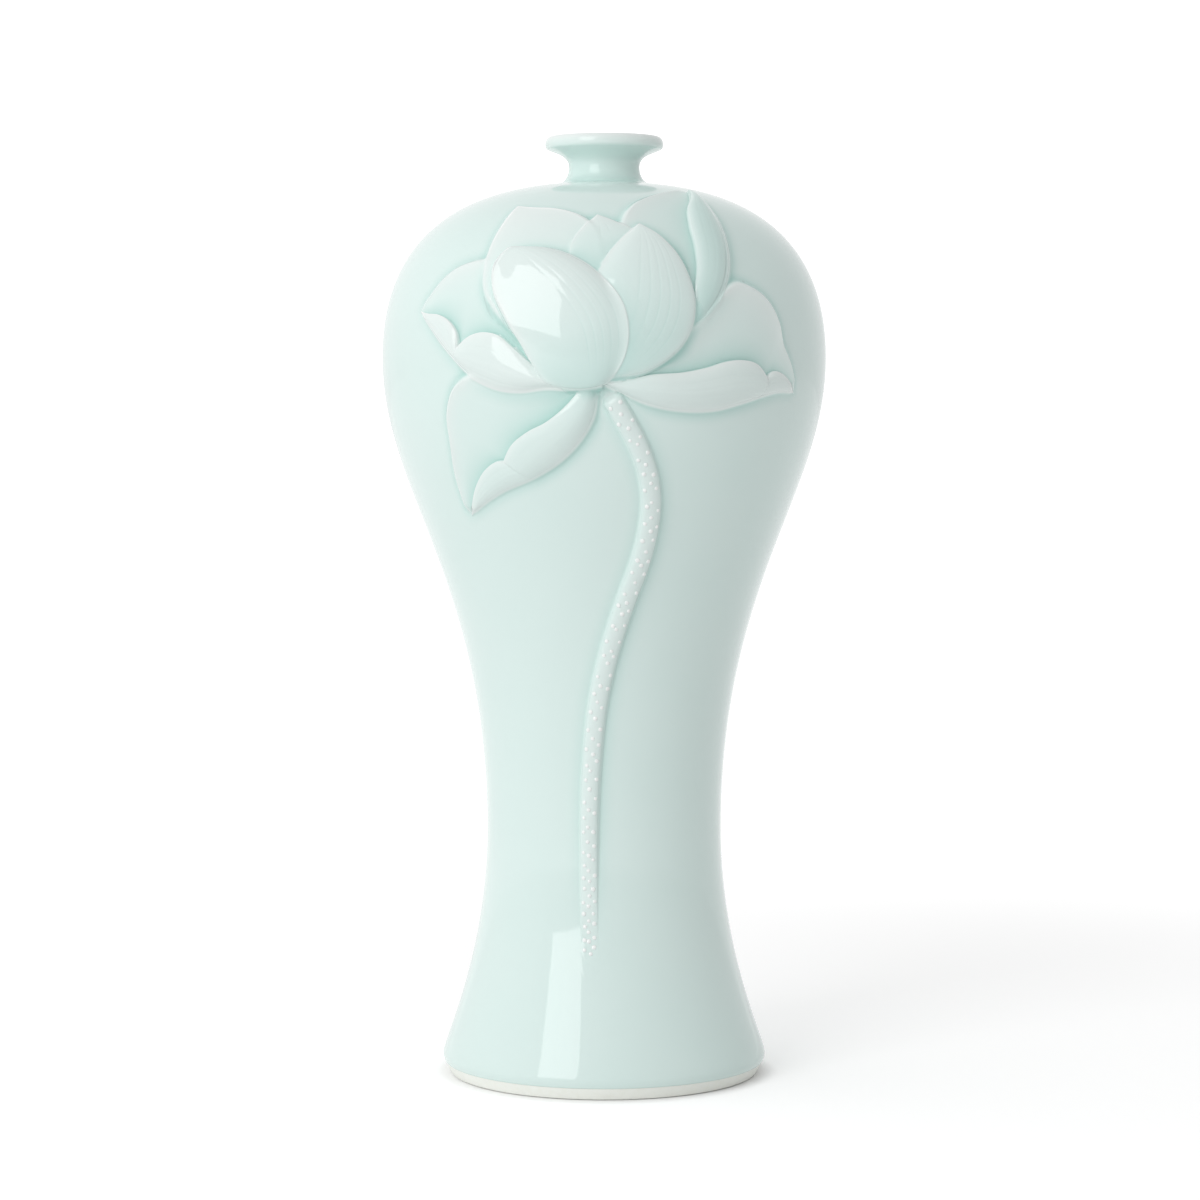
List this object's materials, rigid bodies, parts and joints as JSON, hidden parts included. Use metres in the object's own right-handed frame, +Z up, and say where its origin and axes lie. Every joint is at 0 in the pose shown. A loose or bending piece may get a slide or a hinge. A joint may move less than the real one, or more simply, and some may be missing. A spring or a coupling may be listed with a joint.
{
  "type": "meiping vase",
  "caption": "Tall porcelain vase with a narrow neck, wide shoulder and drawn-in waist, and a lotus on a long stem in raised relief on its front.",
  "frame": {"origin": "middle of the foot ring, on the surface that the vase stands on", "axes": "+Z up along the turning axis, -Y towards the side with the lotus"},
  "size_m": [0.1796, 0.1887, 0.38],
  "materials": {
    "celadon_glaze": "gloss",
    "bare_porcelain": "matte"
  },
  "bodies": {
    "root": {"foot_ring": "bare_porcelain", "lower_body": "celadon_glaze", "middle_body": "celadon_glaze", "shoulder": "celadon_glaze", "neck_and_mouth": "celadon_glaze", "front_petal": "celadon_glaze", "right_cup_petal": "celadon_glaze", "middle_petal": "celadon_glaze", "back_left_petal": "celadon_glaze", "back_right_petal": "celadon_glaze", "right_petal": "celadon_glaze", "left_petal": "celadon_glaze", "lower_petal": "celadon_glaze", "flower_stem": "celadon_glaze", "stem_prickles": "celadon_glaze"}
  },
  "joints": []
}
